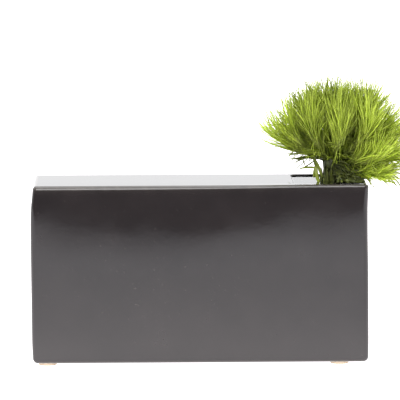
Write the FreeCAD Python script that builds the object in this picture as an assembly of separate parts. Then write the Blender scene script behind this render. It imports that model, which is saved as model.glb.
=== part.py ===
import FreeCAD, Part
import math
import os

os.makedirs("parts", exist_ok=True)

# A block-shaped ceramic flower vessel on four pads, with a pin holder in its well
# and one round flower head standing on the pins. Millimetres, +Z up, front face
# towards -Y. The origin is the middle of the vessel's footprint, on the table.

# Ceramic body
vessel_length = 203.0
vessel_depth = 57.0
body_height = 108.0
wall = 4.5
floor_thickness = 5.0
deck_thickness = 5.0
well_length = 41.0
vertical_edge_radius = 3.2
top_edge_radius = 2.5
bottom_edge_radius = 2.2
inner_corner_radius = 4.0
inner_floor_radius = 2.5
lip_radius = 1.3
cut_overrun = 6.0
fillet_room_share = 0.8

# Felt pads under the four corners, measured from the end and side faces to a pad's middle
foot_radius = 5.5
foot_thickness = 1.8
foot_inset_left = 9.5
foot_inset_right = 16.5
foot_inset_side = 9.5

# Pin holder
holder_radius = 18.0
holder_height = 7.0
holder_edge_radius = 1.0
mat_thickness = 1.5
mat_inset = 0.6
pin_radius = 0.6
pin_height = 12.0
pin_point = 2.6
pin_socket = 4.0
pin_pitch = 3.7
pin_margin = 1.9

# Stalk: it stands on the pins, rises straight, then swings over to the flower head
stalk_radius = 2.3
stalk_bite = 7.0
stalk_bend_height = 60.0
stalk_swing = 4.5
pin_hole_clearance = 0.3
pin_hole_headroom = 0.6
joint_radius = 3.1
joint_drop = 7.5
lower_joint_height = 42.0

# Flower head: a ball at the top of the stalk that carries the tufts
crown_radius = 4.5
crown_height = 10.0
crown_seat_margin = 0.4
seat_gap = 0.25

# The space that the tufts fill: an ellipsoid, its middle set off from the ball
head_half_length = 52.0
head_half_depth = 46.0
head_half_height = 53.5
head_shift_right = 2.5
head_shift_back = 2.0
head_shift_up = 0.5
head_lean_right_deg = 25.0
head_lean_back_deg = 6.0
head_lowest_deg = -7.0

# A tuft rises at least this much for its length, unless it points far enough to the right to
# pass beside the vessel's end. There it keeps part of its droop, and is shorter for it
head_over_rim_share = 0.26
head_past_end_share = 0.72
head_droop_share = 0.31
head_droop_kept_share = 0.72
head_droop_shortening_share = 0.8
tufts_round_ball = 56
tuft_half_angle_deg = 11.5
tuft_stalk_radius = 0.8
tuft_points = 7
tuft_neck_share = 0.40
tuft_rim_share = 0.80
tuft_point_share = 0.94
tuft_rim_angle_share = 0.80
tuft_length_shares = (1.0, 0.94, 0.98)

# Leaves from the upper joint. A leaf's middle line is an arc through three places,
# each given as a distance out from the joint and a rise over it. The two right-hand leaves
# go over the vessel's end, so their middles and tips are set from that edge
leaf_thickness = 0.8
leaf_width = 4.6
leaf_root_share = 0.25
right_leaf_middle_inside = 5.3
right_leaf_middle_rise = 1.3
right_leaf_tip_outside = 5.2
right_leaf_tip_rise = -7.8
rear_leaf_turn_deg = 28.0
rear_leaf_middle_inside = 5.3
rear_leaf_middle_rise = 1.5
rear_leaf_tip_outside = 4.2
rear_leaf_tip_rise = -5.5
well_leaf_middle_out = 5.6
well_leaf_middle_rise = -1.5
well_leaf_tip_out = 6.8
well_leaf_tip_rise = -9.5

# Heights and places that follow
body_bottom = foot_thickness
body_top = body_bottom + body_height
cavity_bottom = body_bottom + floor_thickness
deck_underside = body_top - deck_thickness
inner_half_length = vessel_length / 2 - wall
inner_half_depth = vessel_depth / 2 - wall
well_middle_x = inner_half_length - well_length / 2
holder_bottom = cavity_bottom + mat_thickness
holder_top = holder_bottom + holder_height
pin_tip = holder_top + pin_height
stalk_bottom = pin_tip - stalk_bite
crown_x = well_middle_x + stalk_swing
crown_z = body_top + crown_height
stalk_top = crown_z - math.sqrt(crown_radius ** 2 - (stalk_radius + crown_seat_margin) ** 2)
joint_z = crown_z - joint_drop
golden_angle = math.pi * (3 - math.sqrt(5))


def save(name, shape):
    # One STEP file per piece, with its size printed
    shape.exportStep("parts/%s.step" % name)
    box = shape.BoundBox
    print("%-22s solids %3d  valid %s  volume %10.1f  z %7.2f to %7.2f"
          % (name, len(shape.Solids), shape.isValid(), shape.Volume, box.ZMin, box.ZMax))


def block(length, depth, height, middle_x, bottom_z):
    corner = FreeCAD.Vector(middle_x - length / 2, -depth / 2, bottom_z)
    return Part.makeBox(length, depth, height, corner)


def upright_edges(shape):
    return [e for e in shape.Edges if e.BoundBox.ZLength > max(e.BoundBox.XLength, e.BoundBox.YLength)]


def edges_at(shape, height, tolerance):
    return [e for e in shape.Edges
            if max(abs(e.BoundBox.ZMin - height), abs(e.BoundBox.ZMax - height)) < tolerance]


def make_body():
    tolerance = wall / 1000
    body = block(vessel_length, vessel_depth, body_height, 0, body_bottom)
    body = body.makeFillet(vertical_edge_radius, upright_edges(body))
    body = body.makeFillet(min(top_edge_radius, fillet_room_share * wall),
                           edges_at(body, body_top, tolerance))
    body = body.makeFillet(min(bottom_edge_radius, fillet_room_share * wall),
                           edges_at(body, body_bottom, tolerance))
    inner_radius = min(inner_corner_radius, fillet_room_share * inner_half_depth)
    cavity = block(2 * inner_half_length, 2 * inner_half_depth, deck_underside - cavity_bottom,
                   0, cavity_bottom)
    cavity = cavity.makeFillet(inner_radius, upright_edges(cavity))
    cavity = cavity.makeFillet(min(inner_floor_radius, fillet_room_share * inner_radius),
                               edges_at(cavity, cavity_bottom, tolerance))
    mouth_bottom = deck_underside - cut_overrun
    mouth = block(well_length, 2 * inner_half_depth, body_top + cut_overrun - mouth_bottom,
                  well_middle_x, mouth_bottom)
    mouth = mouth.makeFillet(min(inner_radius, fillet_room_share * well_length / 2), upright_edges(mouth))
    body = body.cut(cavity.fuse(mouth)).removeSplitter()
    rim = [e for e in edges_at(body, body_top, tolerance)
           if e.BoundBox.XMax < inner_half_length + tolerance
           and e.BoundBox.XMin > well_middle_x - well_length / 2 - tolerance
           and max(abs(e.BoundBox.YMin), abs(e.BoundBox.YMax)) < inner_half_depth + tolerance]
    lip = min(lip_radius, fillet_room_share * (wall - min(top_edge_radius, fillet_room_share * wall)))
    return body.makeFillet(lip, rim)


def make_foot(x, y):
    return Part.makeCylinder(foot_radius, foot_thickness, FreeCAD.Vector(x, y, 0))


def pin_places():
    # A triangular grid with one pin in the middle, kept clear of the rim
    reach = holder_radius - pin_margin
    row_step = pin_pitch * math.sqrt(3) / 2
    rows = int(reach / row_step)
    columns = int(reach / pin_pitch) + 1
    places = []
    for row in range(-rows, rows + 1):
        shift = pin_pitch / 2 if row % 2 else 0
        for column in range(-columns, columns + 1):
            x = column * pin_pitch + shift
            y = row * row_step
            if math.hypot(x, y) <= reach:
                places.append((well_middle_x + x, y))
    return places


def make_pins():
    # Each pin is one turned profile: a straight shank, sunk in the holder, and a point
    profile = Part.makePolygon([
        FreeCAD.Vector(0, 0, holder_top - pin_socket),
        FreeCAD.Vector(pin_radius, 0, holder_top - pin_socket),
        FreeCAD.Vector(pin_radius, 0, pin_tip - pin_point),
        FreeCAD.Vector(0, 0, pin_tip),
        FreeCAD.Vector(0, 0, holder_top - pin_socket),
    ])
    pin = Part.Face(profile).revolve(FreeCAD.Vector(0, 0, 0), FreeCAD.Vector(0, 0, 1), 360)
    pins = []
    for x, y in pin_places():
        pins.append(pin.translated(FreeCAD.Vector(x, y, 0)))
    return Part.makeCompound(pins)


def make_holder():
    # The weight that holds the pins, with a socket for each
    axis = FreeCAD.Vector(well_middle_x, 0, holder_bottom)
    holder = Part.makeCylinder(holder_radius, holder_height, axis)
    rims = [e for e in holder.Edges if e.BoundBox.ZLength < holder_height / 2]
    holder = holder.makeFillet(min(holder_edge_radius, pin_margin / 2), rims)
    sockets = []
    for x, y in pin_places():
        foot = FreeCAD.Vector(x, y, holder_top - pin_socket)
        sockets.append(Part.makeCylinder(pin_radius, pin_socket + cut_overrun, foot))
    return holder.cut(Part.makeCompound(sockets))


def make_mat():
    return Part.makeCylinder(holder_radius - mat_inset, mat_thickness,
                             FreeCAD.Vector(well_middle_x, 0, cavity_bottom))


def make_stalk():
    # Straight up, then two equal arcs that bend one way and back, so both ends are upright
    rise = stalk_top - stalk_bend_height
    radius = (stalk_swing ** 2 + rise ** 2) / (4 * stalk_swing)
    half = math.asin(rise / 2 / radius) / 2
    out = radius * (1 - math.cos(half))
    up = radius * math.sin(half)
    x = well_middle_x
    start = FreeCAD.Vector(x, 0, stalk_bottom)
    bend = FreeCAD.Vector(x, 0, stalk_bend_height)
    first = FreeCAD.Vector(x + out, 0, stalk_bend_height + up)
    middle = FreeCAD.Vector(x + stalk_swing / 2, 0, stalk_bend_height + rise / 2)
    second = FreeCAD.Vector(crown_x - out, 0, stalk_top - up)
    top = FreeCAD.Vector(crown_x, 0, stalk_top)
    path = Part.Wire([
        Part.LineSegment(start, bend).toShape(),
        Part.Arc(bend, first, middle).toShape(),
        Part.Arc(middle, second, top).toShape(),
    ])
    ring = Part.Wire([Part.makeCircle(stalk_radius, start, FreeCAD.Vector(0, 0, 1))])
    stalk = path.makePipeShell([ring], True, True)
    upper = Part.makeSphere(joint_radius, FreeCAD.Vector(joint_x(), 0, joint_z))
    lower = Part.makeSphere(joint_radius, FreeCAD.Vector(x, 0, stalk_bottom + lower_joint_height))
    stalk = stalk.fuse([upper, lower]).removeSplitter()
    hole_radius = pin_radius + pin_hole_clearance
    hole_height = stalk_bite + pin_hole_headroom
    for pin_x, pin_y in pin_places():
        if math.hypot(pin_x - x, pin_y) < stalk_radius + hole_radius:
            foot = FreeCAD.Vector(pin_x, pin_y, stalk_bottom - cut_overrun)
            stalk = stalk.cut(Part.makeCylinder(hole_radius, hole_height + cut_overrun, foot))
    return stalk


def joint_x():
    # Where the stalk's second arc passes the upper joint
    rise = stalk_top - stalk_bend_height
    radius = (stalk_swing ** 2 + rise ** 2) / (4 * stalk_swing)
    return crown_x - radius + math.sqrt(radius ** 2 - (stalk_top - joint_z) ** 2)


def make_crown():
    # A ball with a flat seat for the end of the stalk
    middle = FreeCAD.Vector(crown_x, 0, crown_z)
    ball = Part.makeSphere(crown_radius, middle)
    below = block(4 * crown_radius, 4 * crown_radius, 2 * crown_radius, crown_x, stalk_top - 2 * crown_radius)
    return ball.cut(below)


def tuft_directions():
    # Evenly spread directions about a leaning axis, down to the lowest one wanted, without
    # those that would rest on the vessel's rim
    lean = FreeCAD.Rotation(FreeCAD.Vector(0, 1, 0), head_lean_right_deg).multiply(
        FreeCAD.Rotation(FreeCAD.Vector(1, 0, 0), -head_lean_back_deg))
    lowest = math.sin(math.radians(head_lowest_deg))
    directions = []
    for number in range(tufts_round_ball):
        up = 1 - (2 * number + 1) / tufts_round_ball
        side = math.sqrt(1 - up * up)
        turn = number * golden_angle
        direction = lean.multVec(FreeCAD.Vector(side * math.cos(turn), side * math.sin(turn), up))
        clears_rim = direction.z >= head_over_rim_share
        passes_end = direction.x >= head_past_end_share and direction.z >= -head_droop_share
        if up >= lowest and (clears_rim or passes_end):
            if direction.z < 0:
                direction.z *= head_droop_kept_share
            directions.append(direction.normalize())
    return directions


def head_reach(direction):
    # How far a line from the crown's middle runs before it meets the head's ellipsoid
    halves = (head_half_length, head_half_depth, head_half_height)
    shifts = (head_shift_right, head_shift_back, head_shift_up)
    along = sum((d / h) ** 2 for d, h in zip(direction, halves))
    across = sum(-s * d / h ** 2 for d, s, h in zip(direction, shifts, halves))
    beyond = sum((s / h) ** 2 for s, h in zip(shifts, halves)) - 1
    return (-across + math.sqrt(across ** 2 - along * beyond)) / along


def ring_points(radius, height, half_turn):
    points = []
    for corner in range(tuft_points):
        turn = 2 * math.pi * (corner + half_turn / 2) / tuft_points
        points.append(FreeCAD.Vector(radius * math.cos(turn), radius * math.sin(turn), height))
    return points


def polygon_face(points):
    return Part.Face(Part.makePolygon(points + points[:1]))


def make_tuft(direction, length):
    # A slim branchlet that flares into a crown of points, built of flat faces along +Z
    spread = math.tan(math.radians(tuft_half_angle_deg))
    base = crown_radius + seat_gap
    neck = length * tuft_neck_share
    rim = length * tuft_rim_share
    point = length * tuft_point_share
    rings = [
        ring_points(tuft_stalk_radius, base, 0),
        ring_points(tuft_stalk_radius, neck, 0),
        ring_points(rim * spread * tuft_rim_angle_share, rim, 0),
    ]
    tips = ring_points(point * spread, point, 1)
    apex = FreeCAD.Vector(0, 0, length)
    faces = [polygon_face(rings[0][::-1])]
    for corner in range(tuft_points):
        after = (corner + 1) % tuft_points
        for low, high in zip(rings[:-1], rings[1:]):
            faces.append(polygon_face([low[corner], low[after], high[after], high[corner]]))
        valley, next_valley, tip = rings[-1][corner], rings[-1][after], tips[corner]
        faces.append(polygon_face([valley, next_valley, tip]))
        faces.append(polygon_face([valley, tip, apex]))
        faces.append(polygon_face([tip, next_valley, apex]))
    shell = Part.Shell(faces)
    shell.sewShape()
    tuft = Part.Solid(shell)
    if tuft.Volume < 0:
        tuft.reverse()
    tuft.Placement = FreeCAD.Placement(
        FreeCAD.Vector(crown_x, 0, crown_z), FreeCAD.Rotation(FreeCAD.Vector(0, 0, 1), direction))
    return tuft


def make_leaf(turn_deg, middle_out, middle_rise, tip_out, tip_rise):
    # A thin curved strip, cut to a pointed outline as seen from above, then turned about the joint
    half = leaf_thickness / 2
    root_out = joint_radius + seat_gap
    places = [(root_out, 0), (middle_out, middle_rise), (tip_out, tip_rise)]
    line = Part.Arc(*[FreeCAD.Vector(out, 0, joint_z + rise) for out, rise in places])
    line = line.toShape()
    middle = line.Curve.Center
    outer = []
    inner = []
    for share in (0, 0.5, 1):
        spot = line.valueAt(line.FirstParameter + share * (line.LastParameter - line.FirstParameter))
        away = (spot - middle).normalize() * half
        outer.append(spot + away)
        inner.append(spot - away)
    edges = [
        Part.Arc(*outer).toShape(),
        Part.LineSegment(outer[-1], inner[-1]).toShape(),
        Part.Arc(*inner[::-1]).toShape(),
        Part.LineSegment(inner[0], outer[0]).toShape(),
    ]
    side_face = Part.Face(Part.Wire(edges))
    strip = side_face.extrude(FreeCAD.Vector(0, leaf_width, 0)).translated(
        FreeCAD.Vector(0, -leaf_width / 2, 0))
    box = strip.BoundBox
    root = root_out - leaf_width * leaf_root_share
    far = box.XMax + leaf_thickness
    mid = (root + far) / 2
    low = box.ZMin - leaf_width
    start = FreeCAD.Vector(root, 0, low)
    end = FreeCAD.Vector(far, 0, low)
    outline = Part.Face(Part.Wire([
        Part.Arc(start, FreeCAD.Vector(mid, -leaf_width / 2, low), end).toShape(),
        Part.Arc(end, FreeCAD.Vector(mid, leaf_width / 2, low), start).toShape(),
    ]))
    leaf = strip.common(outline.extrude(FreeCAD.Vector(0, 0, box.ZLength + 2 * leaf_width)))
    leaf.rotate(FreeCAD.Vector(0, 0, 0), FreeCAD.Vector(0, 0, 1), turn_deg)
    return leaf.translated(FreeCAD.Vector(joint_x(), 0, 0))


save("vessel_body", make_body())

left_x = foot_inset_left - vessel_length / 2
right_x = vessel_length / 2 - foot_inset_right
side_y = vessel_depth / 2 - foot_inset_side
for name, x, y in (("front_left", left_x, -side_y), ("front_right", right_x, -side_y),
                   ("rear_left", left_x, side_y), ("rear_right", right_x, side_y)):
    save("foot_pad_" + name, make_foot(x, y))

save("kenzan_mat", make_mat())
save("kenzan_base", make_holder())
save("kenzan_pins", make_pins())

save("flower_stalk", make_stalk())
save("flower_crown", make_crown())
edge_out = vessel_length / 2 - joint_x()
save("leaf_right", make_leaf(0, edge_out - right_leaf_middle_inside, right_leaf_middle_rise,
                             edge_out + right_leaf_tip_outside, right_leaf_tip_rise))
slant = math.cos(math.radians(rear_leaf_turn_deg))
save("leaf_right_rear", make_leaf(rear_leaf_turn_deg,
                                  (edge_out - rear_leaf_middle_inside) / slant, rear_leaf_middle_rise,
                                  (edge_out + rear_leaf_tip_outside) / slant, rear_leaf_tip_rise))
save("leaf_well", make_leaf(180, well_leaf_middle_out, well_leaf_middle_rise,
                            well_leaf_tip_out, well_leaf_tip_rise))
for number, direction in enumerate(tuft_directions()):
    droop = max(0, -direction.z) * head_droop_shortening_share
    length = head_reach(direction) * tuft_length_shares[number % len(tuft_length_shares)] * (1 - droop)
    save("tuft_%02d" % (number + 1), make_tuft(direction, length))
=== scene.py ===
import math
import bpy
import numpy as np
from mathutils import Matrix


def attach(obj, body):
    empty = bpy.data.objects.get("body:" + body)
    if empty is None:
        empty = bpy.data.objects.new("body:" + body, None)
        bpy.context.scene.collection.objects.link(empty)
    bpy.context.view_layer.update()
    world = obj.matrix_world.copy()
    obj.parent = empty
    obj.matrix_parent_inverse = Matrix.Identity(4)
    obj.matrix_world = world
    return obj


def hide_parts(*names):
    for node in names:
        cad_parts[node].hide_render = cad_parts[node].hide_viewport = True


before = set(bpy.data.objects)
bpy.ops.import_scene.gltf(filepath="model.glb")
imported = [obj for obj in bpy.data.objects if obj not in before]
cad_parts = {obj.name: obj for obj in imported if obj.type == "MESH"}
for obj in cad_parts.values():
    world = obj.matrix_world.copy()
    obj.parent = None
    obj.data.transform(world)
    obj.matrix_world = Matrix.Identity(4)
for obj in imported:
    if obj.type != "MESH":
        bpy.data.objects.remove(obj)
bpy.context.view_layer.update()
goldenAngle = math.pi * (3 - math.sqrt(5))
fullTurn = 2 * math.pi


# Arrays and meshes

def unit(vectors):
    # Each row divided by its own length
    return vectors / np.linalg.norm(vectors, axis=-1, keepdims=True)


def smoothStep(low, high, values):
    # 0 below low, 1 above high, and 3t^2 - 2t^3 in between
    t = np.clip((values - low) / (high - low), 0, 1)
    return t * t * (3 - 2 * t)


def bell(values, width):
    # exp(-(values / width)^2)
    return np.exp(-(values / width) ** 2)


def xyz(x, y, z):
    return np.stack([x, y, z], axis=-1)


def quadratic(start, control, end, t):
    # (1 - t)^2 start + 2t(1 - t) control + t^2 end
    return (1 - t) ** 2 * start + 2 * t * (1 - t) * control + t ** 2 * end


def skinTubes(rings, values):
    # rings is tubes x stations x corners x 3. Neighbouring stations are joined by quads round the ring,
    # and each end is closed by triangles to its ring's middle. values are per tube and station
    tubes, stations, around, _ = rings.shape
    ends = rings[:, [0, -1]].mean(axis=2)
    points = np.concatenate([rings.reshape(tubes, -1, 3), ends], axis=1)
    corner = np.arange(around)
    after = (corner + 1) % around
    low = np.arange(stations - 1)[:, None] * around
    quads = np.stack([low + corner, low + after, low + around + after, low + around + corner], axis=-1)
    middle = np.full(around, stations * around)
    last = (stations - 1) * around
    fans = np.concatenate([
        np.stack([middle, after, corner], axis=-1),
        np.stack([middle + 1, last + corner, last + after], axis=-1),
    ])
    shift = np.arange(tubes)[:, None, None] * points.shape[1]
    spread = {}
    for label, numbers in values.items():
        perStation = np.broadcast_to(numbers, (tubes, stations))
        perPoint = [np.repeat(perStation, around, axis=1), perStation[:, [0, -1]]]
        spread[label] = np.concatenate(perPoint, axis=1).ravel()
    return (points.reshape(-1, 3), (quads.reshape(1, -1, 4) + shift).reshape(-1, 4),
            (fans[None] + shift).reshape(-1, 3), spread)


def joinSkins(skins):
    # Several skins as one, with corner numbers moved on by the points before them
    points, quads, fans, values = zip(*skins)
    before = np.cumsum([0] + [len(part) for part in points])
    quads = np.concatenate([part + count for part, count in zip(quads, before)])
    fans = np.concatenate([part + count for part, count in zip(fans, before)])
    joined = {label: np.concatenate([part[label] for part in values]) for label in values[0]}
    return np.concatenate(points), quads, fans, joined


def addObject(name, data):
    thing = bpy.data.objects.new(name, data)
    bpy.context.scene.collection.objects.link(thing)
    return thing


def addPiece(name, skin, material, body, slot, *replaced):
    # A mesh from a skin, its values as point attributes, that rides a body and may stand for nodes
    points, quads, fans, values = skin
    mesh = bpy.data.meshes.new(name)
    faces = quads.tolist() + fans.tolist()
    mesh.from_pydata(points.tolist(), [], faces)
    mesh.polygons.foreach_set("use_smooth", np.ones(len(faces), bool))
    for label, numbers in values.items():
        layer = mesh.attributes.new(label, "FLOAT", "POINT")
        layer.data.foreach_set("value", np.asarray(numbers, np.float32))
    mesh.materials.append(material)
    piece = addObject(name, mesh)
    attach(piece, body)
    if replaced:
        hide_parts(*replaced)


def tubeRings(path, radii, around, start):
    # A circle carried along a path, across its tangent, with start as its first direction
    tangent = unit(np.gradient(path, axis=0))
    first = unit(np.cross(np.cross(tangent, start), tangent))
    second = np.cross(tangent, first)
    turn = np.arange(around) * fullTurn / around
    circle = first[:, None] * np.cos(turn)[None, :, None] + second[:, None] * np.sin(turn)[None, :, None]
    return path[:, None] + circle * radii[:, None, None]


# Shader groups and material helpers

class NodeTree:
    # A cleared node tree, with short calls for the nodes that are used here
    def __init__(self, tree):
        self.tree = tree
        tree.nodes.clear()

    def add(self, kind):
        return self.tree.nodes.new(kind)

    def link(self, source, target):
        self.tree.links.new(source, target)

    def fill(self, socket, value):
        # A colour or a number is set on the socket, and another node's output is linked to it
        if isinstance(value, tuple):
            socket.default_value = (*value, 1)
        elif isinstance(value, (int, float)):
            socket.default_value = value
        else:
            self.link(value, socket)

    def noise(self, given):
        node = self.add("ShaderNodeTexNoise")
        for label in ("Vector", "Scale", "Detail"):
            self.link(given[label], node.inputs[label])
        return node.outputs["Fac"]

    def ramp(self, source, fromLow, fromHigh, low, high):
        node = self.add("ShaderNodeMapRange")
        self.link(source, node.inputs["Value"])
        for label, value in zip(("From Min", "From Max", "To Min", "To Max"), (fromLow, fromHigh, low, high)):
            self.fill(node.inputs[label], value)
        return node.outputs["Result"]

    def curve(self, source, points):
        # A free curve through the given points, from 0 to 1 both ways
        node = self.add("ShaderNodeFloatCurve")
        line = node.mapping.curves[0]
        line.points[0].location = points[0]
        line.points[1].location = points[-1]
        for point in points[1:-1]:
            line.points.new(*point)
        node.mapping.update()
        self.link(source, node.inputs["Value"])
        return node.outputs["Value"]

    def times(self, first, second):
        node = self.add("ShaderNodeMath")
        node.operation = "MULTIPLY"
        self.fill(node.inputs[0], first)
        self.fill(node.inputs[1], second)
        return node.outputs[0]

    def mix(self, share, first, second):
        node = self.add("ShaderNodeMix")
        node.data_type = "RGBA"
        self.link(share, node.inputs[0])
        self.fill(node.inputs[6], first)
        self.fill(node.inputs[7], second)
        return node.outputs[2]


def newGroup(name, numbers, output, kind):
    # A group that takes a Vector and the given numbers, and puts out one value
    tree = bpy.data.node_groups.new(name, "ShaderNodeTree")
    tree.interface.new_socket("Vector", in_out="INPUT", socket_type="NodeSocketVector")
    for label, value in numbers.items():
        tree.interface.new_socket(label, in_out="INPUT", socket_type="NodeSocketFloat").default_value = value
    tree.interface.new_socket(output, in_out="OUTPUT", socket_type=kind)
    group = NodeTree(tree)
    return group, group.add("NodeGroupInput").outputs, group.add("NodeGroupOutput").inputs


def makeMottle():
    # Cloudy mask: fractal noise, stretched from the span From to To onto Low to High
    group, given, made = newGroup("cloudyMottle", {
        "Scale": 60.0, "Detail": 3.0, "Low": 0.0, "High": 1.0, "From": 0.3, "To": 0.7,
    }, "Mask", "NodeSocketFloat")
    cloud = group.ramp(group.noise(given), given["From"], given["To"], given["Low"], given["High"])
    group.link(cloud, made["Mask"])
    return group.tree


def makeGrain():
    # Surface grain: fine noise turned into a normal by a bump of a given height
    group, given, made = newGroup("fineGrain", {
        "Scale": 300.0, "Detail": 2.0, "Height": 0.0001, "Strength": 0.5,
    }, "Normal", "NodeSocketVector")
    bump = group.add("ShaderNodeBump")
    group.link(group.noise(given), bump.inputs["Height"])
    group.link(given["Height"], bump.inputs["Distance"])
    group.link(given["Strength"], bump.inputs["Strength"])
    group.link(bump.outputs["Normal"], made["Normal"])
    return group.tree


mottleGroup = makeMottle()
grainGroup = makeGrain()


class Finish(NodeTree):
    # One material with its shader and output. Patterns read Object coordinates
    def __init__(self, name):
        self.material = bpy.data.materials.new(name)
        self.material.use_nodes = True
        super().__init__(self.material.node_tree)
        self.place = self.add("ShaderNodeTexCoord").outputs["Object"]
        self.shader = self.add("ShaderNodeBsdfPrincipled")
        self.output = self.add("ShaderNodeOutputMaterial")
        self.link(self.shader.outputs["BSDF"], self.output.inputs["Surface"])

    def group(self, group, output, vector=None, **values):
        node = self.add("ShaderNodeGroup")
        node.node_tree = group
        self.link(vector or self.place, node.inputs["Vector"])
        for label, value in values.items():
            node.inputs[label].default_value = value
        return node.outputs[output]

    def mottle(self, **values):
        return self.group(mottleGroup, "Mask", **values)

    def grain(self, **values):
        self.link(self.group(grainGroup, "Normal", **values), self.shader.inputs["Normal"])

    def attribute(self, name):
        node = self.add("ShaderNodeAttribute")
        node.attribute_name = name
        return node.outputs["Fac"]

    def stretched(self, x, y, z):
        node = self.add("ShaderNodeMapping")
        self.link(self.place, node.inputs["Vector"])
        node.inputs["Scale"].default_value = (x, y, z)
        return node.outputs["Vector"]

    def colour(self, value):
        self.fill(self.shader.inputs["Base Color"], value)

    def roughness(self, mask):
        self.link(mask, self.shader.inputs["Roughness"])

    def set(self, **values):
        for label, value in values.items():
            self.shader.inputs[label.replace("_", " ")].default_value = value


def dressNode(name, material):
    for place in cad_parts[name].material_slots:
        place.material = material


# Camera: the place, aim, roll and lens that the vessel's edges give

cameraValues = {
    "place": (-0.028, -1.6298, 0.322), "yawDeg": 1.017, "pitchDeg": 7.8455, "rollDeg": -0.16,
    "lens": 243.15, "sensor": 36,
}


def addCamera(given):
    yaw, pitch, roll = (math.radians(given[key]) for key in ("yawDeg", "pitchDeg", "rollDeg"))
    ahead = np.array([math.sin(yaw) * math.cos(pitch), math.cos(yaw) * math.cos(pitch), -math.sin(pitch)])
    right = np.array([math.cos(yaw), -math.sin(yaw), 0])
    up = np.cross(right, ahead)
    across = math.cos(roll) * right + math.sin(roll) * up
    upright = math.cos(roll) * up - math.sin(roll) * right
    lens = bpy.data.cameras.new("camera")
    lens.lens = given["lens"]
    lens.sensor_width = given["sensor"]
    lens.clip_start = 0.05
    lens.clip_end = 20
    camera = addObject("camera", lens)
    turned = Matrix([list(row) for row in np.stack([across, upright, -ahead], axis=1)]).to_4x4()
    turned.translation = given["place"]
    camera.matrix_world = turned
    bpy.context.scene.camera = camera


addCamera(cameraValues)
print("camera placed")


# Studio: a white floor, wide lights above and in front, and a room bright behind and dark in front

studioValues = {
    "floorHalfWidth": 1.6, "floorFront": -0.675, "floorBack": 2.2, "fadeEnd": -0.05,
    "floorNear": (0.62, 0.6, 0.61), "floorFar": (0.58, 0.59, 0.62), "floorUnlit": (0.01, 0.01, 0.01),
    "floorCloud": (0.5, 0.5, 0.5), "floorGlow": 1.46,
    "floorFade": ((0, 0.12), (0.06, 0.32), (0.14, 0.47), (0.3, 0.59), (0.58, 0.64), (0.8, 0.74), (1, 1)),
    "overheadSoftbox": {"size": (0.9, 0.7), "place": (0, 0.05, 0.8), "tiltDeg": 0, "power": 6.1},
    "frontSoftbox": {"size": (1.5, 0.9), "place": (-0.15, -1, 0.85), "tiltDeg": 50, "power": 29},
    "frontGlow": 0.16, "sideGlow": 1.2, "backGlow": 1.6, "glowTop": 2, "roomTint": (0.985, 0.99, 1),
    "backdrop": 1.15,
}


def addSoftbox(name, size, place, tiltDeg, power):
    lamp = bpy.data.lights.new(name, "AREA")
    lamp.shape = "RECTANGLE"
    lamp.size, lamp.size_y = size
    lamp.energy = power
    softbox = addObject(name, lamp)
    softbox.location = place
    softbox.rotation_euler = (math.radians(tiltDeg), 0, 0)
    softbox.visible_camera = False


def addFloor(given):
    # Glow and colour fade out towards the front edge, along a free curve of Y. The colour's fall to a dark
    # unlit tone there is painted shade
    half, front, back = given["floorHalfWidth"], given["floorFront"], given["floorBack"]
    mesh = bpy.data.meshes.new("floor")
    corners = [(-half, front, 0), (half, front, 0), (half, back, 0), (-half, back, 0)]
    mesh.from_pydata(corners, [], [(0, 1, 2, 3)])
    paper = Finish("whiteFloor")
    split = paper.add("ShaderNodeSeparateXYZ")
    paper.link(paper.place, split.inputs[0])
    along = paper.ramp(split.outputs["Y"], front, given["fadeEnd"], 0, 1)
    fade = paper.curve(along, given["floorFade"])
    tint = paper.mix(along, given["floorFar"], given["floorNear"])
    tint = paper.mix(paper.mottle(Scale=40, High=0.02), tint, given["floorCloud"])
    glow = paper.ramp(fade, 0, 1, 0, given["floorGlow"] / given["floorNear"][0])
    # Painted shade: the floor's colour darkens towards the front edge
    paper.colour(paper.mix(fade, given["floorUnlit"], tint))
    paper.link(tint, paper.shader.inputs["Emission Color"])
    paper.link(glow, paper.shader.inputs["Emission Strength"])
    paper.set(Roughness=0.55)
    mesh.materials.append(paper.material)
    floor = addObject("floor", mesh)


def addRoom(given):
    # The glow is a curve of Y from front to back, and the camera sees a plain white instead
    world = bpy.data.worlds.new("studio")
    bpy.context.scene.world = world
    world.use_nodes = True
    room = NodeTree(world.node_tree)
    split = room.add("ShaderNodeSeparateXYZ")
    room.link(room.add("ShaderNodeTexCoord").outputs["Generated"], split.inputs[0])
    front, side, back = (given[key] / given["glowTop"] for key in ("frontGlow", "sideGlow", "backGlow"))
    glow = room.curve(room.ramp(split.outputs["Y"], -1, 1, 0, 1),
                      ((0, front), (0.3, front), (0.5, side), (0.66, back), (1, back)))
    choose = room.add("ShaderNodeMixShader")
    room.link(room.add("ShaderNodeLightPath").outputs["Is Camera Ray"], choose.inputs[0])
    seen = ((given["roomTint"], room.times(glow, given["glowTop"])), ((1, 1, 1), given["backdrop"]))
    for number, (tint, strength) in enumerate(seen):
        light = room.add("ShaderNodeBackground")
        room.fill(light.inputs["Color"], tint)
        room.fill(light.inputs["Strength"], strength)
        room.link(light.outputs[0], choose.inputs[number + 1])
    room.link(choose.outputs[0], room.add("ShaderNodeOutputWorld").inputs["Surface"])


addFloor(studioValues)
for name in ("overheadSoftbox", "frontSoftbox"):
    addSoftbox(name, **studioValues[name])
addRoom(studioValues)
bpy.context.scene.view_settings.view_transform = "Standard"
print("studio lit")


# Vessel: rounded rectangles carried from the underside's middle, up the walls, over the deck into
# the well, out under the deck, and down to the middle of the inner floor

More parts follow.
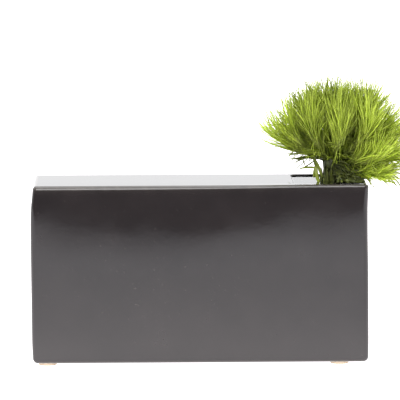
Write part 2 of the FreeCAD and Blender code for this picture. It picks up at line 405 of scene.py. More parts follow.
vesselValues = {
    "length": 0.203, "depth": 0.057, "bottom": 0.0018, "top": 0.1098, "wall": 0.0045,
    "floor": 0.005, "deck": 0.005, "wellLength": 0.041, "cornerRadius": 0.0032, "topRadius": 0.0025,
    "bottomRadius": 0.003, "innerRadius": 0.004, "innerFloorRadius": 0.0025, "lipRadius": 0.0006,
    "underRadius": 0.001, "mouthStep": 0.0003, "mouthInset": 0.0007,
    "frontBulge": 0.00062, "bulgeX": -0.03, "bulgeWidth": 0.07, "bulgeHeight": 0.45, "bulgeRise": 0.3,
    "backBulge": 0.0004, "rippleHeight": 0.000012,
    "leftShoulder": 0.0016, "leftShoulderDrop": 0.012, "leftFoot": 0.0005, "leftTaper": 0.00025,
    "rightShoulder": 0.0006, "rightShoulderDrop": 0.009, "rightFoot": 0.0003, "rightFlare": 0.001,
    "rightWaist": 0.0003, "footDrop": 0.008, "backCorner": 0.45,
    "rimStretch": (-0.1, 0.5), "rimStretchDrop": 0.0035, "rimRise": 0.00035, "rimRiseDrop": 0.006,
    "farWall": 0.153,
}
v = vesselValues
top, bottom = v["top"], v["bottom"]
under = top - v["deck"]
halfLength = v["length"] / 2
halfDepth = v["depth"] / 2
wellRight = halfLength - v["wall"]
wellX = wellRight - v["wellLength"] / 2
outerRect = np.array([-halfLength, halfLength, -halfDepth, halfDepth, v["cornerRadius"]])
cavityRect = np.array([-wellRight, wellRight, v["wall"] - halfDepth, halfDepth - v["wall"], v["innerRadius"]])
mouthRect = cavityRect + np.array([0, -1, 1, -1, 0]) * v["mouthStep"]
mouthRect[0] = wellRight - v["wellLength"] + v["mouthInset"]
ringSides = (66, 20, 9)


def sliver(left, right):
    # A rectangle so narrow that it closes a level face at its middle
    return np.array([left, right, -0.0004, 0.0004, 0.0002])


floorMiddle = sliver(-0.05, 0.05)
wellMiddle = sliver(wellX - 0.008, wellX + 0.008)


def roundedTemplate(alongLength, alongDepth, corner):
    # Per point: how far across x and y it is, and what share of the corner radius is added to each
    parts = []
    for ux, uy, turn in ((1, 0, -90), (1, 1, 0), (0, 1, 90), (0, 0, 180)):
        angle = np.radians(turn + np.linspace(0, 90, corner))
        across, along = 1 - 2 * ux + np.cos(angle), 1 - 2 * uy + np.sin(angle)
        parts.append(np.stack([np.full(corner, ux), across, np.full(corner, uy), along], axis=-1))
    rows = []
    for number, part in enumerate(parts):
        after = parts[(number + 1) % 4][0]
        count = alongDepth if number % 2 == 0 else alongLength
        share = np.linspace(0, 1, count + 2)[1:-1, None]
        rows += [part, part[-1] * (1 - share) + after * share]
    return np.concatenate(rows)


def rectangleRings(stations, template):
    # Each station is x0, x1, y0, y1, radius, z; each point is x0 + (x1 - x0)u + radius a, and so for y
    x0, x1, y0, y1, radius, z = stations.T[:, :, None]
    u, a, w, b = template.T[:, None, :]
    x = x0 + (x1 - x0) * u + radius * a
    y = y0 + (y1 - y0) * w + radius * b
    return xyz(x, y, np.broadcast_to(z, x.shape))


def insetRows(rect, insets, heights):
    # The rectangle pulled in by each inset, with its corner radius shrinking as much
    insets = np.asarray(insets, float)[:, None]
    rows = rect + insets * np.array([1, -1, 1, -1, -1])
    rows[:, 4] = np.maximum(rows[:, 4], 0.0004)
    return np.column_stack([rows, np.broadcast_to(heights, len(rows))])


def blendRows(first, second, shares, height):
    # Rectangles between two others, each first + (second - first) share
    shares = np.asarray(shares, float)[:, None]
    rows = first * (1 - shares) + second * shares
    return np.column_stack([rows, np.broadcast_to(height, len(rows))])


def arc(radius, steps, rising):
    # Quarter circle as (inset, height) pairs: flat first where rising, upright first where not
    t = np.linspace(0, math.pi / 2, steps)
    if rising:
        return radius * (1 - np.sin(t)), radius * (1 - np.cos(t))
    return radius * (1 - np.cos(t)), radius * np.sin(t)


def warpBody(points):
    # Slip-cast walls are never flat. Front and back swell by bell curves of x and z and ripple in three
    # sine waves, shoulders and foot move by bell curves of z, the right-hand end flares evenly
    # downwards, and the front rim gets tighter to the right
    x, y, z = points[..., 0], points[..., 1], points[..., 2]
    height = (z - bottom) / (top - bottom)
    arch = bell(height - v["bulgeHeight"], v["bulgeRise"])
    swell = arch * bell(x - v["bulgeX"], v["bulgeWidth"])
    waves = np.sin(x * 150 + z * 40) + np.sin(x * 83 - z * 95 + 1.3) + np.sin(z * 170 + x * 31)
    ripple = v["rippleHeight"] * waves
    front = smoothStep(0.02, halfDepth, -y)
    back = smoothStep(0.02, halfDepth, y)
    toRight = smoothStep(-halfLength, halfLength, x)
    drop = top - z
    toFoot = bell(z - bottom, v["footDrop"])
    squarer = 1 - v["backCorner"] * smoothStep(-halfDepth, halfDepth, y)
    leftMove = (v["leftShoulder"] * squarer * bell(drop, v["leftShoulderDrop"])
                + v["leftTaper"] * (1 - height) + v["leftFoot"] * toFoot)
    rightMove = (v["rightShoulder"] * bell(drop, v["rightShoulderDrop"]) + v["rightFlare"] * (1 - height)
                 - v["rightWaist"] * smoothStep(0.45, 0.75, height) - v["rightFoot"] * toFoot)
    moved = points.copy()
    moved[..., 0] += leftMove * (1 - toRight) + rightMove * toRight
    moved[..., 1] += back * (v["backBulge"] * swell + ripple) - front * (v["frontBulge"] * swell + ripple)
    low, high = v["rimStretch"]
    tighter = low + high * smoothStep(-0.06, 0.08, x)
    moved[..., 2] += front * tighter * drop * bell(drop, v["rimStretchDrop"])
    moved[..., 2] += v["rimRise"] * front * smoothStep(0, 0.08, x) * bell(drop, v["rimRiseDrop"])
    return moved


def vesselSkin():
    # One skin through all the rectangles, its rounds quarter circles. edge is 1 where the glaze wears
    outer, inner = outerRect, mouthRect
    inFloor = bottom + v["floor"]
    footIn, footUp = arc(v["bottomRadius"], 8, True)
    rimIn, rimUp = arc(v["topRadius"], 10, False)
    lipIn, lipUp = arc(v["lipRadius"], 7, True)
    cupIn, cupUp = arc(v["innerFloorRadius"], 7, False)
    wallBottom, wallTop = bottom + v["bottomRadius"], top - v["topRadius"]
    wall = wallTop - wallBottom
    wallHeights = np.concatenate([[0.0004], np.linspace(0.003, wall - 0.003, 34), [wall - 0.0004]])
    deckRim = insetRows(outer, [v["topRadius"]], 0)[0, :5]
    deckMouth = insetRows(inner, [-v["lipRadius"]], 0)[0, :5]
    deckShares = np.concatenate([[0.004, 0.03], np.linspace(0.08, 0.92, 12), [0.97, 0.996]])
    innerBottom = insetRows(cavityRect, [v["innerFloorRadius"]], 0)[0, :5]
    footFlat = insetRows(outer, [v["bottomRadius"]], 0)[0, :5]
    turnUp = np.array([0, 0.00008, 0.00025, 0.0006, 0.001]) / v["farWall"]
    turnUpHeights = under + v["underRadius"] * np.array([1, 0.6, 0.3, 0.08, 0])
    floorRound = inFloor + v["innerFloorRadius"]
    stations = np.concatenate([
        blendRows(floorMiddle, footFlat, [0, 0.3, 0.6, 0.85, 0.98], bottom),
        insetRows(outer, footIn, bottom + footUp),
        insetRows(outer, np.zeros(len(wallHeights)), wallBottom + wallHeights),
        insetRows(outer, rimIn, wallTop + rimUp),
        blendRows(deckRim, deckMouth, deckShares, top),
        insetRows(inner, -lipIn, top - lipUp),
        insetRows(inner, [0, 0], [top - v["lipRadius"] - 0.0004, under + v["underRadius"] + 0.0003]),
        blendRows(inner, cavityRect, turnUp, turnUpHeights),
        blendRows(inner, cavityRect, [0.02, 0.1, 0.3, 0.6, 0.9, 0.99, 1], under),
        insetRows(cavityRect, [0] * 4, [under - 0.0005, under - 0.03, inFloor + 0.03, floorRound + 0.0005]),
        insetRows(cavityRect, cupIn, floorRound - cupUp),
        blendRows(innerBottom, floorMiddle, [0.02, 0.3, 0.7, 1], inFloor),
    ])
    rings = warpBody(rectangleRings(stations, roundedTemplate(*ringSides)))
    heights, insideDeck = stations[:, 5], stations[:, 0] > outer[0] + 0.003
    rim = smoothStep(wallTop - 0.001, top - 0.0009, heights) * ~insideDeck
    foot = smoothStep(bottom + 0.002, bottom + 0.0004, heights) * ~insideDeck
    return skinTubes(rings[None], {"edge": np.maximum(rim, foot)})


glazeValues = {
    "dark": (0.0119, 0.0097, 0.0102), "light": (0.0158, 0.0128, 0.0132), "edge": (0.06, 0.052, 0.046),
    "fleck": (0.075, 0.066, 0.058),
}


def makeGlaze(given):
    # A cloudy dark glaze with rare flecks, lighter where it is worn
    glaze = Finish("darkGlaze")
    body = glaze.mix(glaze.mottle(Scale=55, Detail=4), given["dark"], given["light"])
    specks = glaze.mottle(Scale=700, Detail=1, From=0.74, To=0.8, High=0.5)
    body = glaze.mix(specks, body, given["fleck"])
    patches = glaze.mottle(Scale=180, From=0.2, To=0.8, Low=0.25, High=0.8)
    worn = glaze.times(glaze.attribute("edge"), patches)
    glaze.colour(glaze.mix(worn, body, given["edge"]))
    glaze.roughness(glaze.mottle(Scale=90, Detail=4, Low=0.045, High=0.075))
    glaze.grain(Scale=260, Height=0.00004, Strength=0.12)
    glaze.set(IOR=1.5)
    return glaze.material


addPiece("glazedVessel", vesselSkin(), makeGlaze(glazeValues), "vessel", "dark_glaze", "vessel_body")
print("vessel skinned")


# Water: fills the hollow to just under the rim, with a rim that creeps up the wall

waterValues = {"clearance": 0.00006, "level": 0.0009, "creep": 0.0003, "creepWidth": 0.0016}


def waterSkin(given):
    # The hollow's own rectangles, a hair smaller. At the wall the surface rises by a parabola
    inFloor = bottom + v["floor"] + given["clearance"]
    gap = given["clearance"]
    cupIn, cupUp = arc(v["innerFloorRadius"], 7, False)
    cavity = insetRows(cavityRect, [gap], 0)[0, :5]
    mouth = insetRows(mouthRect, [gap], 0)[0, :5]
    floorRect = insetRows(cavity, [v["innerFloorRadius"]], 0)[0, :5]
    surface = top - given["level"]
    ceiling = under - gap
    floorRound = inFloor + v["innerFloorRadius"]
    turnDown = 1 - np.array([0.0006, 0.00025, 0]) / v["farWall"]
    shares = np.array([0, 0.2, 0.4, 0.6, 0.8, 1.0])
    creepIn = given["creepWidth"] * shares
    creepUp = given["creep"] * (1 - shares) ** 2
    calm = insetRows(mouth, [given["creepWidth"]], 0)[0, :5]
    stations = np.concatenate([
        blendRows(floorMiddle, floorRect, [0, 0.3, 0.7, 0.98], inFloor),
        insetRows(cavity, cupIn[::-1], floorRound - cupUp[::-1]),
        insetRows(cavity, [0] * 4, [floorRound + 0.0005, inFloor + 0.03, ceiling - 0.03, ceiling - 0.0005]),
        blendRows(cavity, mouth, [0, 0.02, 0.1, 0.4, 0.7, 0.9, 0.98, 0.9935], ceiling),
        blendRows(cavity, mouth, turnDown, ceiling + v["underRadius"] * np.array([0.08, 0.3, 1])),
        insetRows(mouth, [0], [surface + given["creep"] - 0.0004]),
        insetRows(mouth, creepIn, surface + creepUp),
        blendRows(calm, wellMiddle, [0.02, 0.2, 0.5, 0.8, 1], surface),
    ])
    rings = warpBody(rectangleRings(stations, roundedTemplate(*ringSides)))
    return skinTubes(rings[None], {})


def makeWater():
    water = Finish("clearWater")
    water.colour((0.97, 0.985, 0.98))
    water.set(Roughness=0, IOR=1.333, Transmission_Weight=1)
    return water.material


addPiece("wellWater", waterSkin(waterValues), makeWater(), "vessel", "dark_glaze")
print("water poured")


# Pads and pin holder: CAD nodes with their own finishes

def makeFelt():
    felt = Finish("creamFelt")
    felt.colour(felt.mix(felt.mottle(Scale=900, Detail=4), (0.8, 0.66, 0.5), (0.66, 0.53, 0.39)))
    felt.grain(Scale=1800, Detail=4, Height=0.0002, Strength=0.8)
    felt.set(Roughness=0.95)
    return felt.material


def makeRubber():
    rubber = Finish("blackRubber")
    rubber.colour(rubber.mix(rubber.mottle(Scale=300), (0.018, 0.018, 0.019), (0.032, 0.031, 0.03)))
    rubber.grain(Scale=1500, Height=0.00005, Strength=0.5)
    rubber.set(Roughness=0.75)
    return rubber.material


def makeLead():
    lead = Finish("castLead")
    lead.colour(lead.mix(lead.mottle(Scale=220, Detail=5), (0.2, 0.205, 0.215), (0.33, 0.33, 0.32)))
    lead.roughness(lead.mottle(Scale=350, Detail=4, Low=0.38, High=0.6))
    lead.grain(Scale=700, Detail=4, Height=0.00012, Strength=0.5)
    lead.set(Metallic=1)
    return lead.material


def makeBrass():
    brass = Finish("drawnBrass")
    lines = brass.stretched(1, 1, 0.08)
    brass.colour(brass.mix(brass.mottle(vector=lines, Scale=2500), (0.78, 0.56, 0.24), (0.6, 0.41, 0.17)))
    brass.roughness(brass.mottle(vector=lines, Scale=3000, Low=0.22, High=0.4))
    brass.set(Metallic=1)
    return brass.material


creamFelt = makeFelt()
for corner in ("front_left", "front_right", "rear_left", "rear_right"):
    dressNode("foot_pad_" + corner, creamFelt)
dressNode("kenzan_mat", makeRubber())
dressNode("kenzan_base", makeLead())
dressNode("kenzan_pins", makeBrass())
print("pads and pin holder finished")


# Flower: greens that brighten towards each tip, a painted backlight, and let light through

greenValues = {
    "deep": (0.19, 0.26, 0.01), "lime": (0.775, 0.91, 0.125), "paleBase": (0.62, 0.68, 0.22),
    "paintedBacklitTip": (0.8, 0.9, 0.2), "through": 0.5, "leafDeepen": 0.55,
    # The far darker green of the leaves under the head is painted shade
    "paintedShadeDeep": 0.22, "paintedShadeLime": 0.23, "paintedShadeCloud": (0.03, 0.032, 0.019),
}


def deeper(colour, share):
    return tuple(share * c for c in colour)


def makeLeafGreen(name, given, deepen=1):
    # Each blade goes from a pale base through its own shade of green to a tip made pale by painted backlight
    green = Finish(name)
    along = green.attribute("along")
    deep = deeper(given["deep"], deepen)
    tint = green.mix(green.attribute("shade"), deep, deeper(given["lime"], deepen))
    tint = green.mix(green.ramp(along, 0, 0.45, 0.65, 0), tint, given["paleBase"])
    # Painted backlight: each tip is mixed towards a pale green
    tint = green.mix(green.ramp(along, 0.7, 1, 0, 0.4), tint, given["paintedBacklitTip"])
    tint = green.mix(green.mottle(Scale=900, Detail=2, High=0.25), tint, deep)
    green.colour(tint)
    green.set(Roughness=0.42)
    back = green.add("ShaderNodeBsdfTranslucent")
    green.link(tint, back.inputs["Color"])
    both = green.add("ShaderNodeMixShader")
    both.inputs[0].default_value = given["through"]
    green.link(green.shader.outputs["BSDF"], both.inputs[1])
    green.link(back.outputs["BSDF"], both.inputs[2])
    green.link(both.outputs[0], green.output.inputs["Surface"])
    return green.material


def makeStalkGreen():
    stalk = Finish("stalkGreen")
    ribs = stalk.stretched(1, 1, 0.04)
    streaks = stalk.mottle(vector=ribs, Scale=1400)
    tint = stalk.mix(streaks, (0.04, 0.05, 0.012), (0.085, 0.1, 0.025))
    stalk.colour(stalk.mix(stalk.attribute("joint"), tint, (0.075, 0.08, 0.028)))
    stalk.grain(vector=ribs, Scale=1500, Height=0.0002, Strength=0.6)
    stalk.set(Roughness=0.5)
    return stalk.material


stalkValues = {
    "radius": 0.0023, "bottom": 0.0203, "bendHeight": 0.06, "swing": 0.0045, "crownRadius": 0.0045,
    "crownRise": 0.01, "seatMargin": 0.0004, "jointRadius": 0.0031, "jointHalfHeight": 0.0022,
    "jointDrop": 0.0075, "lowerJoint": 0.042, "ribs": 6, "ribDepth": 0.035, "around": 18, "stations": 90,
}
s = stalkValues
crown = np.array([wellX + s["swing"], 0, top + s["crownRise"]])
stalkTop = crown[2] - math.sqrt(s["crownRadius"] ** 2 - (s["radius"] + s["seatMargin"]) ** 2)
jointZ = crown[2] - s["jointDrop"]


def stalkX(z):
    # Upright to the bend, then two equal arcs that swing over and back
    rise = stalkTop - s["bendHeight"]
    radius = (s["swing"] ** 2 + rise ** 2) / (4 * s["swing"])
    up = np.clip(z - s["bendHeight"], 0, rise)
    low, high = (radius - np.sqrt(radius ** 2 - np.minimum(part, rise / 2) ** 2) for part in (up, rise - up))
    return wellX + np.where(up < rise / 2, low, s["swing"] - high)


def stalkSkin():
    # A round section carried up the stalk's line. Its radius swells by a bell curve of z at each joint,
    # and by a cosine of the turn for each rib
    z = np.linspace(s["bottom"], stalkTop + 0.001, s["stations"])
    path = xyz(stalkX(z), 0 * z, z)
    joints = (s["bottom"] + s["lowerJoint"], jointZ)
    swell = sum(bell(z - middle, s["jointHalfHeight"]) for middle in joints)
    radii = s["radius"] + (s["jointRadius"] - s["radius"]) * swell
    rings = tubeRings(path, radii, s["around"], np.array([1.0, 0, 0]))
    turn = np.arange(s["around"]) * fullTurn / s["around"]
    ribs = 1 + s["ribDepth"] * np.cos(s["ribs"] * turn)[None, :, None]
    rings = path[:, None] + (rings - path[:, None]) * ribs
    return skinTubes(rings[None], {"joint": swell})


def crownSkin():
    # A ball of buds: its radius varies by sines of the turn and of the angle from the bottom
    t = np.linspace(0.02, math.pi - 0.02, 26)[:, None]
    turn = np.linspace(0, fullTurn, 37)[None, :-1]
    radius = s["crownRadius"] * (0.95 + 0.05 * np.sin(9 * turn + 4 * t) * np.sin(7 * t))
    rings = xyz(radius * np.sin(t) * np.cos(turn), radius * np.sin(t) * np.sin(turn), -radius * np.cos(t))
    return skinTubes((rings + crown)[None], {"joint": 0.2})


stalkGreen = makeStalkGreen()
addPiece("flowerStalk", stalkSkin(), stalkGreen, "flower", "stalk_green", "flower_stalk")
addPiece("flowerCrown", crownSkin(), stalkGreen, "flower", "stalk_green", "flower_crown")
print("stalk and crown grown")


# Head: the same spread of branchlet directions as the solids, each dressed as a brush of blades

headValues = {
    "halves": (0.052, 0.046, 0.0535), "shift": (0.0025, 0.002, 0.0005), "leanRightDeg": 25,
    "leanBackDeg": 6, "lowestDeg": -7, "overRim": 0.26, "pastEnd": 0.72, "droop": 0.31,
    "droopKept": 0.72, "droopShortening": 0.8, "roundBall": 56, "lengthShares": (1, 1.01, 0.99),
    "rimMargin": 0.0009, "rimFade": (0.0018, 0.005), "tipLowest": (0.3, -0.3),
    "tipLowestSpan": (-0.2, 0.75), "tipLowestLoose": 0.06, "seed": 40,
}
# Tones run from 0, deep, to 1, lime. Shares are of the head's reach along the blade or branchlet
brushValues = {
    "main": {"count": 90, "spreadDeg": 14, "base": (0.36, 0.5), "rise": (0.08, 0.42), "scatter": 0.0006},
    # The bright fan's pale blades are partly a paler green and partly painted highlight
    "bright": {"count": 18, "spreadDeg": 9, "base": (0.36, 0.5), "rise": (0.08, 0.42), "scatter": 0.0004},
    "side": {"count": 52, "spreadDeg": 19, "base": (0.24, 0.4), "rise": (0, 0.3), "scatter": 0.0008},
    # Painted light on low brushes and on low ones at the ends, and painted shade on the side fans, go into
    # these tones
    "tone": (-0.15, 0.42), "lowPaintedLight": 0.75, "endPaintedLight": 0.05, "paleToneAndHighlight": 0.85, "sidePaintedShade": -0.08,
    "toneLoose": 0.31, "toneMost": 1.3,
    "leftThinner": 0.52, "rightLonger": 0.12, "topLonger": 0.05, "leftLonger": 0.08,
    "sideTurnDeg": (4, 9), "sideShare": 0.93, "frontRise": 0.42, "endFall": 0.75,
    "capStretch": 1.15, "capPower": 0.62, "tipShare": (0.75, 1.04), "baseLoose": (-0.05, 0.07),
    "leave": (0.8, 0.5, 0.16), "bendAt": (0.38, 0.55),
    "width": 0.00043, "widthShare": (0.65, 1.3), "keel": 0.45,
    # The inner blades' low tones are painted shade inside the head
    "inner": {"count": 26, "from": (0.1, 0.34), "length": (0.16, 0.34), "turnDeg": (10, 34),
              "loose": 0.0012, "tone": (0.05, 0.4)},
    "stray": {"count": 7, "from": (0.3, 0.62), "length": (0.006, 0.013), "fall": 0.45, "drop": 0.0015,
              "tone": (0.2, 0.9)},
    "twigRadius": 0.00062, "twigShare": 0.5,
}
bladeOutline = np.array([0.55, 0.92, 1.0, 0.84, 0.48, 0.06])
bladeStations = np.array([0, 0.18, 0.42, 0.66, 0.86, 1.0])


def headReach(directions):
    # Where a line from the crown leaves the head's ellipsoid
    halves = np.array(headValues["halves"])
    shift = np.array(headValues["shift"])
    along = ((directions / halves) ** 2).sum(axis=-1)
    across = (-shift * directions / halves ** 2).sum(axis=-1)
    beyond = ((shift / halves) ** 2).sum() - 1
    return (-across + np.sqrt(across ** 2 - along * beyond)) / along


def tuftAxes():
    # Even spread about a leaning axis: height falls by equal steps, and each turn is the golden angle.
    # Directions that would rest on the rim are left out
    h = headValues
    number = np.arange(h["roundBall"])
    up = 1 - (2 * number + 1) / h["roundBall"]
    side = np.sqrt(1 - up ** 2)
    turn = number * goldenAngle
    spread = xyz(side * np.cos(turn), side * np.sin(turn), up)
    lean = Matrix.Rotation(math.radians(h["leanRightDeg"]), 3, "Y") @ Matrix.Rotation(
        math.radians(-h["leanBackDeg"]), 3, "X")
    spread = spread @ np.array(lean).T
    pastEnd = (spread[:, 0] >= h["pastEnd"]) & (spread[:, 2] >= -h["droop"])
    kept = (up >= math.sin(math.radians(h["lowestDeg"]))) & ((spread[:, 2] >= h["overRim"]) | pastEnd)
    spread[:, 2] *= np.where(spread[:, 2] < 0, h["droopKept"], 1)
    return unit(spread[kept])


def clearRim(line):
    # Points over the vessel are lifted to just above its top, fading out past its end and faces
    x, y, z = line[..., 0], line[..., 1], line[..., 2]
    near, far = headValues["rimFade"]
    over = (1 - smoothStep(halfLength + near, halfLength + far, x)) * (
        1 - smoothStep(halfDepth + near, halfDepth + far, np.abs(y)))
    return xyz(x, y, z + over * np.maximum(top + headValues["rimMargin"] - z, 0))


def bladeSkin(base, control, tip, width, shade, rng):
    # Each blade is a quadratic curve base - control - tip, turned about itself at random. Its section is
    # a flat triangle, two edges and a keel, as wide as the blade's outline
    twist = unit(rng.normal(0, 1, base.shape))
    t = bladeStations[None, :, None]
    base, control, tip = base[:, None], control[:, None], tip[:, None]
    line = clearRim(quadratic(base, control, tip, t))
    tangent = unit((1 - t) * (control - base) + t * (tip - control) + 1e-9)
    side = unit(np.cross(tangent, twist[:, None]))
    keel = np.cross(side, tangent)
    half = (np.reshape(width, (-1, 1)) * bladeOutline)[..., None]
    ridge = keel * half * brushValues["keel"]
    rings = np.stack([line + side * half, line - side * half, line + ridge], axis=2)
    return skinTubes(rings, {"along": bladeStations, "shade": shade[:, None]})


def around(axis, angles, turns):
    # Directions at the given angles from an axis, at the given turns about it
    first = unit(np.cross(axis, np.where(np.abs(axis[..., 2:]) > 0.9, [1.0, 0, 0], [0, 0, 1.0])))
    second = np.cross(axis, first)
    flat = first * np.cos(turns)[..., None] + second * np.sin(turns)[..., None]
    return axis * np.cos(angles)[..., None] + flat * np.sin(angles)[..., None]


def tipLowest(x):
    # How low tips may point: well up on the left, a little down past the vessel's end
    left, right = headValues["tipLowest"]
    return left + (right - left) * smoothStep(*headValues["tipLowestSpan"], x)


def fanSkin(axis, share, kind, shade, thin, rng):
    # Blades from one spot on the branchlet: tips spread evenly over a cap about an axis that
    # rises towards the light, and each blade leaves along the branchlet before it bends over
    b = brushValues
    count = int(thin * kind["count"])
    spread = math.radians(kind["spreadDeg"])
    baseShare = rng.uniform(*kind["base"])
    lift = rng.uniform(*kind["rise"]) * (1 - b["endFall"] * smoothStep(0.5, 0.9, axis[0]))
    lift = lift + b["frontRise"] * smoothStep(0.25, 0.85, -axis[1])
    tipMiddle = unit(axis + np.array([0, 0, 1.0]) * lift)
    tipMiddle[2] = max(tipMiddle[2], tipLowest(tipMiddle[0]) + 0.8 * math.sin(spread))
    angle = spread * rng.uniform(0, b["capStretch"], count) ** b["capPower"]
    tipAxis = around(np.tile(unit(tipMiddle), (count, 1)), angle, rng.uniform(0, fullTurn, count))
    lowest = tipLowest(tipAxis[:, 0]) + rng.normal(0, headValues["tipLowestLoose"], count)
    tipAxis[:, 2] = lowest + np.abs(tipAxis[:, 2] - lowest)
    tipAxis = unit(tipAxis)
    reach = headReach(tipAxis) * share
    tip = crown + tipAxis * (reach * rng.uniform(*b["tipShare"], count))[:, None]
    along = headReach(axis) * (baseShare + rng.uniform(*b["baseLoose"], count))
    base = crown + axis * along[:, None] + rng.normal(0, kind["scatter"], (count, 3))
    chord = np.linalg.norm(tip - base, axis=-1, keepdims=True)
    ahead, over, loose = b["leave"]
    leave = unit(ahead * axis + over * unit(tip - base) + loose * rng.normal(0, 1, (count, 3)))
    control = base + leave * chord * rng.uniform(*b["bendAt"], (count, 1))
    width = b["width"] * rng.uniform(*b["widthShare"], count)
    tone = np.clip(shade + rng.normal(0, b["toneLoose"], count), 0, b["toneMost"])
    return bladeSkin(base, control, tip, width, tone, rng)


def innerSkin(axis, reach, given, rng):
    # Short blades near the crown, in dark tones that are painted shade, which close the view into the head
    count = given["count"]
    at = rng.uniform(*given["from"], count)
    inward = around(np.tile(axis, (count, 1)), np.radians(rng.uniform(*given["turnDeg"], count)),
                    rng.uniform(0, fullTurn, count))
    base = crown + axis * (reach * at)[:, None]
    tip = crown + inward * (reach * (at + rng.uniform(*given["length"], count)))[:, None]
    control = (base + tip) / 2 + rng.normal(0, given["loose"], (count, 3))
    return bladeSkin(base, control, tip, brushValues["width"], rng.uniform(*given["tone"], count), rng)


def straySkin(axis, reach, given, rng):
    # Blades that hang loose from the branchlet
    count = given["count"]
    base = crown + axis * (reach * rng.uniform(*given["from"], count))[:, None]
    out = unit(axis * 0.6 + rng.normal(0, 0.6, (count, 3)) - [0, 0, given["fall"]])
    long = rng.uniform(*given["length"], (count, 1))
    tip = base + out * long - [0, 0, given["drop"]]
    control = base + unit(out + 0.5 * axis) * long * 0.55
    return bladeSkin(base, control, tip, 0.7 * brushValues["width"], rng.uniform(*given["tone"], count), rng)


def twigSkin(axis, reach):
    # The branchlet itself: a straight round tube that ends half as thick
    steps = np.linspace(0, 1, 7)
    long = s["crownRadius"] * 0.9 + (reach * brushValues["twigShare"] - s["crownRadius"]) * steps
    radii = brushValues["twigRadius"] * (1 - 0.5 * steps)
    rings = tubeRings(crown + axis * long[:, None], radii, 6, np.array([0.3, 0.2, 0.9]))
    return skinTubes(rings[None], {"along": 0.25, "shade": 0.1})


def tuftSkin(axis, share, rng):
    # One branchlet with its three fans. Low brushes are painted lighter, and low ones at the head's ends more
    # so, as painted light; the side fan is painted darker, as painted shade. Brushes on the left are thinner,
    # and some sides of the head reach further
    b = brushValues
    right, high = axis[0], axis[2]
    reach = headReach(axis)
    # Painted light: low brushes, and low ones at the head's ends, get lighter tones
    shade = (rng.uniform(*b["tone"]) + b["lowPaintedLight"] * (1 - smoothStep(0.1, 0.75, high))
             + b["endPaintedLight"] * smoothStep(0.45, 0.8, abs(right)) * (1 - smoothStep(0, 0.5, high)))
    thin = 1 - b["leftThinner"] * smoothStep(0.25, 0.75, -right)
    share = share * (1 + b["rightLonger"] * smoothStep(0.1, 0.7, right) * smoothStep(0.15, 0.45, high)
                     + b["topLonger"] * smoothStep(0.9, 1, high)
                     + b["leftLonger"] * smoothStep(0.7, 0.9, -right))
    main = fanSkin(axis, share, b["main"], shade, thin, rng)
    # Pale blades: partly a paler green, partly painted highlight
    bright = fanSkin(axis, share, b["bright"], b["paleToneAndHighlight"], 1, rng)
    turned = around(axis[None], np.radians([rng.uniform(*b["sideTurnDeg"])]), rng.uniform(0, fullTurn, 1))[0]
    # Painted shade: the side fan's blades get a darker tone
    side = fanSkin(turned, share * b["sideShare"], b["side"], shade + b["sidePaintedShade"], thin, rng)
    inner = innerSkin(axis, reach, b["inner"], rng)
    stray = straySkin(axis, reach, b["stray"], rng)
    return joinSkins([main, bright, side, inner, stray, twigSkin(axis, reach)])


tuftGreen = makeLeafGreen("tuftGreen", greenValues)
axes = tuftAxes()
for number, axis in enumerate(axes):
    rng = np.random.default_rng(headValues["seed"] + number)
    share = headValues["lengthShares"][number % 3] * (1 - headValues["droopShortening"] * max(0, -axis[2]))
    label = "%02d" % (number + 1)
    skin = tuftSkin(axis, share, rng)
    addPiece("brush_" + label, skin, tuftGreen, "flower", "tuft_green", "tuft_" + label)
print("head of", len(axes), "brushes dressed")


# Undergrowth: narrow leaves that crowd the top of the stalk under the head, dark with painted shade

underValues = {
    "seed": 7, "width": 0.00065,
    "spray": {"count": 460, "start": (-0.0005, 0, -0.003), "loose": 0.0014, "turnDeg": (-72, 84),
              "riseDeg": (-24, 12), "length": (0.01, 0.023), "rearLonger": 0.35, "fall": (0, 0.22)},
    "low": {"count": 340, "x": (0.083, 0.014), "y": (-0.02, 0.019), "z": (0.1158, -0.0022),
            "length": (0.004, 0.009), "frontDrop": 0.0035, "arch": 0.0012},
    "sheath": {"count": 44, "foot": (-0.016, 0.001), "lean": (0.001, 0.0055), "sway": (-0.001, 0.003),
               "rise": (0.012, 0.02), "left": 0.0012},
    "rear": {"count": 110, "x": (-0.006, 0.006), "y": (0.003, 0.007), "z": (0.001, 0.007),
             "length": (0.009, 0.016)},
}
underWidth = underValues["width"]


def spraySkin(given, rng):
    # Blades in a fan from under the crown, longer to the rear, that fall with their length
    count = given["count"]
    turn = np.radians(rng.uniform(*given["turnDeg"], count))
    rise = np.radians(rng.uniform(*given["riseDeg"], count))
    out = xyz(np.cos(turn) * np.cos(rise), np.sin(turn) * np.cos(rise), np.sin(rise))
    base = crown + np.array(given["start"]) + rng.normal(0, given["loose"], (count, 3))
    longer = 1 + given["rearLonger"] * smoothStep(0.3, 0.9, out[:, 1:2])
    long = rng.uniform(*given["length"], (count, 1)) * longer
    tip = base + out * long - np.array([0, 0, 1.0]) * long * rng.uniform(*given["fall"], (count, 1))
    control = base + unit(out + [0, 0, 0.35]) * long * 0.5
    width = underWidth * rng.uniform(0.7, 1.3, count)
    return bladeSkin(base, control, tip, width, rng.uniform(0, 0.5, count), rng)


def lowSkin(given, rng):
    # Short blades from a band over the well, right of the stalk, that dips at its front
    count = given["count"]
    share = rng.uniform(0, 1, count)
    (x, runX), (z, runZ) = given["x"], given["z"]
    base = xyz(x + runX * share, rng.uniform(*given["y"], count), z + runZ * share)
    base[:, 2] -= given["frontDrop"] * smoothStep(0.006, 0.02, -base[:, 1])
    out = unit(xyz(rng.uniform(-0.2, 1, count), rng.normal(0, 0.7, count), rng.uniform(-0.7, 0.1, count)))
    tip = base + out * rng.uniform(*given["length"], (count, 1))
    tip[:, 0] = np.minimum(tip[:, 0], halfLength - 0.001)
    control = (base + tip) / 2 + [0, 0, given["arch"]]
    width = underWidth * rng.uniform(0.9, 1.6, count)
    return bladeSkin(base, control, tip, width, rng.uniform(0, 0.6, count), rng)


